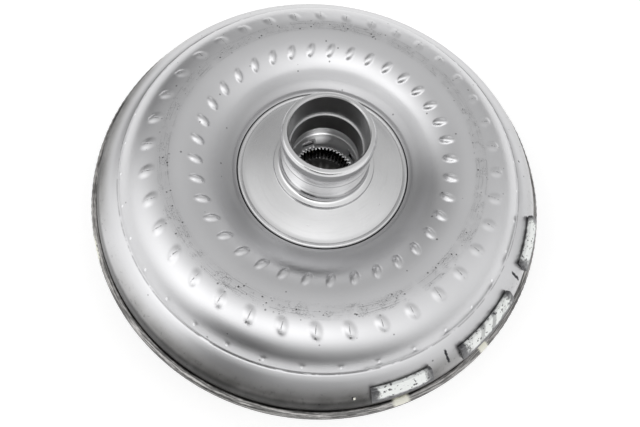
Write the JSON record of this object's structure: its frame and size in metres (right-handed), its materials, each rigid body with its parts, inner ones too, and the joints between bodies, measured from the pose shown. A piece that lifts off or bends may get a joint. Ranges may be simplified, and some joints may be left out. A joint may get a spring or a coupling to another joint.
{
  "type": "torque converter",
  "caption": "Welded torque converter with a dimpled steel shell and a turned pump hub, holding a vaned turbine, a stator on a one-way clutch and a lock-up damper.",
  "frame": {"origin": "on the axis, in the plane of the drive lugs' faces", "axes": "+Z along the axis, out of the pump hub; +X through the first drive lug"},
  "size_m": [0.3, 0.3, 0.132],
  "materials": {
    "rolled_steel": "satin rolled sheet, scuffed",
    "turned_steel": "fine turned and ground, bright",
    "forged_steel": "forged, oiled, satin",
    "stamped_steel": "stamped sheet, satin",
    "dark_steel": "blackened, rough",
    "painted_weight": "dabs of white paint on dark steel",
    "cast_aluminium": "die cast, matt",
    "bronze": "sintered, satin",
    "friction_paper": "pressed fibre, matt",
    "seal_polymer": "moulded, matt"
  },
  "bodies": {
    "casing": {"front_cover": "forged_steel", "pilot_boss": "turned_steel", "drive_lug_1": "forged_steel", "drive_lug_2": "forged_steel", "drive_lug_3": "forged_steel", "drive_lug_4": "forged_steel", "drive_lug_5": "forged_steel", "drive_lug_6": "forged_steel", "impeller_shell": "rolled_steel", "impeller_hub": "turned_steel", "impeller_blade_ring": "stamped_steel", "closing_weld": "dark_steel", "balance_weight_1": "painted_weight", "balance_weight_2": "painted_weight", "balance_weight_3": "painted_weight", "pump_thrust_race": "turned_steel", "cover_thrust_washer": "bronze"},
    "turbine": {"turbine_shell": "stamped_steel", "turbine_blade_ring": "stamped_steel", "turbine_hub": "forged_steel", "damper_hub_plate": "stamped_steel", "piston_seal_ring": "seal_polymer", "turbine_thrust_race": "turned_steel", "turbine_rivet_1": "dark_steel", "turbine_rivet_2": "dark_steel", "turbine_rivet_3": "dark_steel", "turbine_rivet_4": "dark_steel", "turbine_rivet_5": "dark_steel", "turbine_rivet_6": "dark_steel", "damper_spring_1": "dark_steel", "damper_spring_2": "dark_steel", "damper_spring_3": "dark_steel", "damper_spring_4": "dark_steel", "damper_spring_5": "dark_steel", "damper_spring_6": "dark_steel"},
    "damper": {"damper_drive_plate": "stamped_steel", "damper_rear_plate": "stamped_steel", "damper_stop_pin_1": "dark_steel", "damper_stop_pin_2": "dark_steel", "damper_stop_pin_3": "dark_steel"},
    "piston": {"lockup_piston": "stamped_steel", "friction_lining": "friction_paper"},
    "stator": {"stator_wheel": "cast_aluminium", "clutch_outer_race": "turned_steel", "roller_springs": "stamped_steel", "clutch_upper_plate": "stamped_steel", "clutch_lower_plate": "stamped_steel", "clutch_snap_ring": "dark_steel", "stator_upper_race": "turned_steel", "stator_lower_race": "turned_steel"},
    "inner_race": {"stator_inner_race": "turned_steel"},
    "pump_cage": {"pump_needle_cage": "stamped_steel"},
    "turbine_cage": {"turbine_needle_cage": "stamped_steel"},
    "roller_1": {"clutch_roller_1": "turned_steel"},
    "roller_2": {"clutch_roller_2": "turned_steel"},
    "roller_3": {"clutch_roller_3": "turned_steel"},
    "roller_4": {"clutch_roller_4": "turned_steel"},
    "roller_5": {"clutch_roller_5": "turned_steel"},
    "roller_6": {"clutch_roller_6": "turned_steel"}
  },
  "joints": [
    {"name": "turbine_spin", "type": "hinge", "parent": "casing", "child": "turbine", "pos_m": [0, 0, 0.072], "axis": [0, 0, 1], "continuous": true},
    {"name": "damper_twist", "type": "hinge", "parent": "turbine", "child": "damper", "pos_m": [0, 0, 0.0374], "axis": [0, 0, 1], "range_deg": [-6, 6], "stiffness_Nm_per_rad": 200},
    {"name": "piston_stroke", "type": "slide", "parent": "damper", "child": "piston", "axis": [0, 0, 1], "range_m": [-0.0009, 0]},
    {"name": "stator_spin", "type": "hinge", "parent": "casing", "child": "stator", "pos_m": [0, 0, 0.072], "axis": [0, 0, 1], "continuous": true},
    {"name": "race_freewheel", "type": "hinge", "parent": "stator", "child": "inner_race", "pos_m": [0, 0, 0.072], "axis": [0, 0, 1], "continuous": true},
    {"name": "pump_cage_roll", "type": "hinge", "parent": "casing", "child": "pump_cage", "pos_m": [0, 0, 0.072], "axis": [0, 0, 1], "continuous": true},
    {"name": "turbine_cage_roll", "type": "hinge", "parent": "casing", "child": "turbine_cage", "pos_m": [0, 0, 0.072], "axis": [0, 0, 1], "continuous": true},
    {"name": "roller_1_spin", "type": "hinge", "parent": "stator", "child": "roller_1", "pos_m": [0.03415, 0, 0.069], "axis": [0, 0, 1], "continuous": true},
    {"name": "roller_2_spin", "type": "hinge", "parent": "stator", "child": "roller_2", "pos_m": [0.01707, 0.02958, 0.069], "axis": [0, 0, 1], "continuous": true},
    {"name": "roller_3_spin", "type": "hinge", "parent": "stator", "child": "roller_3", "pos_m": [-0.01707, 0.02958, 0.069], "axis": [0, 0, 1], "continuous": true},
    {"name": "roller_4_spin", "type": "hinge", "parent": "stator", "child": "roller_4", "pos_m": [-0.03415, 0, 0.069], "axis": [0, 0, 1], "continuous": true},
    {"name": "roller_5_spin", "type": "hinge", "parent": "stator", "child": "roller_5", "pos_m": [-0.01707, -0.02958, 0.069], "axis": [0, 0, 1], "continuous": true},
    {"name": "roller_6_spin", "type": "hinge", "parent": "stator", "child": "roller_6", "pos_m": [0.01707, -0.02958, 0.069], "axis": [0, 0, 1], "continuous": true}
  ],
  "couplings": [
    {"joint": "pump_cage_roll", "follows": "stator_spin", "ratio": 0.5},
    {"joint": "turbine_cage_roll", "follows": "turbine_spin", "ratio": 0.5},
    {"joint": "roller_1_spin", "follows": "race_freewheel", "ratio": -7.5},
    {"joint": "roller_2_spin", "follows": "race_freewheel", "ratio": -7.5},
    {"joint": "roller_3_spin", "follows": "race_freewheel", "ratio": -7.5},
    {"joint": "roller_4_spin", "follows": "race_freewheel", "ratio": -7.5},
    {"joint": "roller_5_spin", "follows": "race_freewheel", "ratio": -7.5},
    {"joint": "roller_6_spin", "follows": "race_freewheel", "ratio": -7.5}
  ]
}
